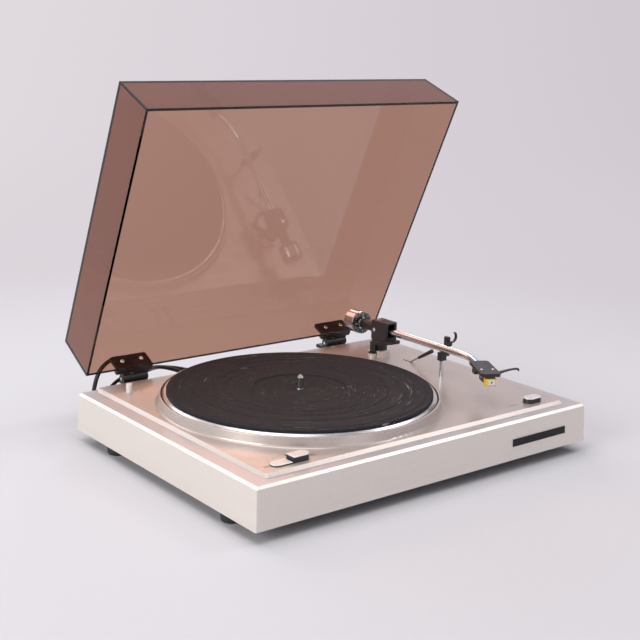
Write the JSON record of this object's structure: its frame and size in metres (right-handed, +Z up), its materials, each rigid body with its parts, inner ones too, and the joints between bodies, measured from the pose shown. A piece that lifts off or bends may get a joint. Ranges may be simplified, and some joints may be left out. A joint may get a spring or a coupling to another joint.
{
  "type": "turntable",
  "caption": "Belt-drive record player: low plinth with a sunken well and platter, bent tonearm on its rest, push buttons and a hinged smoked dust cover standing open.",
  "frame": {"origin": "on the floor under the middle of the object's box, leaving out its leads", "axes": "+X along the front from left to right, +Y from the front to the back, +Z up"},
  "size_m": [0.4576, 0.4537, 0.4047],
  "materials": {
    "plinth paint": "satin metallic paint",
    "deck paint": "satin metallic paint",
    "smoked acrylic": "clear, polished",
    "black plastic": "satin",
    "front plate": "gloss",
    "silver caps": "satin",
    "platter metal": "machined",
    "mat rubber": "matte",
    "foot rubber": "matte",
    "bright steel": "polished",
    "tube chrome": "chromed",
    "weight chrome": "chromed",
    "bearing brass": "machined",
    "bearing metal": "cast",
    "adapter plastic": "gloss",
    "stylus plastic": "gloss",
    "circuit board": "matte",
    "inner steel": "plain",
    "lead rubber": "satin"
  },
  "bodies": {
    "plinth": {"plinth_shell": "plinth paint", "top_deck": "deck paint", "bottom_cover": "black plastic", "base_screws": "bright steel", "rubber_feet": "foot rubber", "bearing_housing": "bearing metal", "bearing_bush": "bearing brass", "thrust_ball": "bright steel", "inner_screws": "bright steel", "motor": "inner steel", "drive_belt": "foot rubber", "circuit_board": "circuit board", "transformer": "inner steel", "switch_blocks": "black plastic", "adapter_post": "adapter plastic", "front_plate": "front plate", "arm_base": "deck paint", "arm_spindle": "bright steel", "rest_post": "bright steel", "rest_head": "black plastic", "lift_guide": "deck paint", "lever_bracket": "black plastic", "hinge_brackets": "black plastic", "hinge_pins": "bright steel", "cord_glands": "black plastic", "mains_cord": "lead rubber", "mains_coil": "lead rubber", "mains_plug": "lead rubber", "signal_cord": "lead rubber", "signal_coil": "lead rubber", "signal_plug": "lead rubber"},
    "cover": {"dust_cover": "smoked acrylic", "lid_screws": "bright steel", "hinge_leaves": "black plastic"},
    "turning platter": {"platter": "platter metal", "platter_mat": "mat rubber", "spindle": "bright steel"},
    "pulley": {"motor_pulley": "bearing brass"},
    "speed 33": {"button_33": "black plastic", "button_33_cap": "silver caps"},
    "speed 45": {"button_45": "black plastic", "button_45_cap": "silver caps"},
    "stop": {"stop_button": "black plastic", "stop_button_cap": "silver caps"},
    "yoke": {"gimbal_yoke": "black plastic", "gimbal_screws": "bright steel"},
    "arm": {"arm_hub": "black plastic", "arm_tube": "tube chrome", "counterweight_shaft": "bright steel", "headshell": "black plastic", "headshell_screws": "bright steel", "finger_lift": "black plastic", "cartridge": "black plastic", "stylus": "stylus plastic"},
    "weight": {"counterweight": "weight chrome"},
    "dial": {"force_dial": "black plastic"},
    "lever": {"cue_lever": "bright steel", "lever_grip": "black plastic"},
    "lift": {"cue_lift": "black plastic"},
    "clip": {"rest_clip": "black plastic"}
  },
  "joints": [
    {"name": "lid_hinge", "type": "hinge", "parent": "plinth", "child": "cover", "pos_m": [0, 0.1578, 0.0591], "axis": [-1, 0, 0], "range_deg": [-65.6, 0]},
    {"name": "platter_spin", "type": "hinge", "parent": "plinth", "child": "turning platter", "pos_m": [-0.04275, -0.025, 0.072], "axis": [0, 0, 1], "continuous": true},
    {"name": "pulley_spin", "type": "hinge", "parent": "plinth", "child": "pulley", "pos_m": [-0.1276, 0.05985, 0.058], "axis": [0, 0, 1], "continuous": true},
    {"name": "speed_45", "type": "slide", "parent": "plinth", "child": "speed 45", "axis": [0, 0, 1], "range_m": [-0.0045, 0]},
    {"name": "speed_33", "type": "slide", "parent": "plinth", "child": "speed 33", "axis": [0, 0, 1], "range_m": [0, 0.0045]},
    {"name": "stop_press", "type": "slide", "parent": "plinth", "child": "stop", "axis": [0, 0, 1], "range_m": [-0.003, 0], "stiffness_N_per_m": 300, "springref_m": 0.001},
    {"name": "arm_swing", "type": "hinge", "parent": "plinth", "child": "yoke", "pos_m": [0.15765, 0.0726, 0.073], "axis": [0, 0, -1], "range_deg": [0, 43]},
    {"name": "arm_lift", "type": "hinge", "parent": "yoke", "child": "arm", "pos_m": [0.15765, 0.0726, 0.0945], "axis": [-1, 0, 0], "range_deg": [0, 10]},
    {"name": "weight_slide", "type": "slide", "parent": "arm", "child": "weight", "axis": [0, 1, 0], "range_m": [-0.003, 0.003]},
    {"name": "dial_turn", "type": "hinge", "parent": "weight", "child": "dial", "pos_m": [0.15765, 0.1076, 0.0945], "axis": [0, 1, 0], "range_deg": [-271, 271]},
    {"name": "cue_lever", "type": "hinge", "parent": "plinth", "child": "lever", "pos_m": [0.16865, 0.0366, 0.053], "axis": [-1, 0, 0], "range_deg": [0, 50]},
    {"name": "cue_lift", "type": "slide", "parent": "plinth", "child": "lift", "axis": [0, 0, 1], "range_m": [0, 0.0045]},
    {"name": "clip_swing", "type": "hinge", "parent": "plinth", "child": "clip", "pos_m": [0.16495, -0.0464, 0.0995], "axis": [0, -1, 0], "range_deg": [0, 145]}
  ],
  "couplings": [
    {"joint": "pulley_spin", "follows": "platter_spin", "ratio": 17.333},
    {"joint": "speed_33", "follows": "speed_45", "ratio": -1},
    {"joint": "dial_turn", "follows": "weight_slide", "rad_per_m": 1570.8},
    {"joint": "cue_lift", "follows": "cue_lever", "m_per_rad": 0.005156}
  ]
}
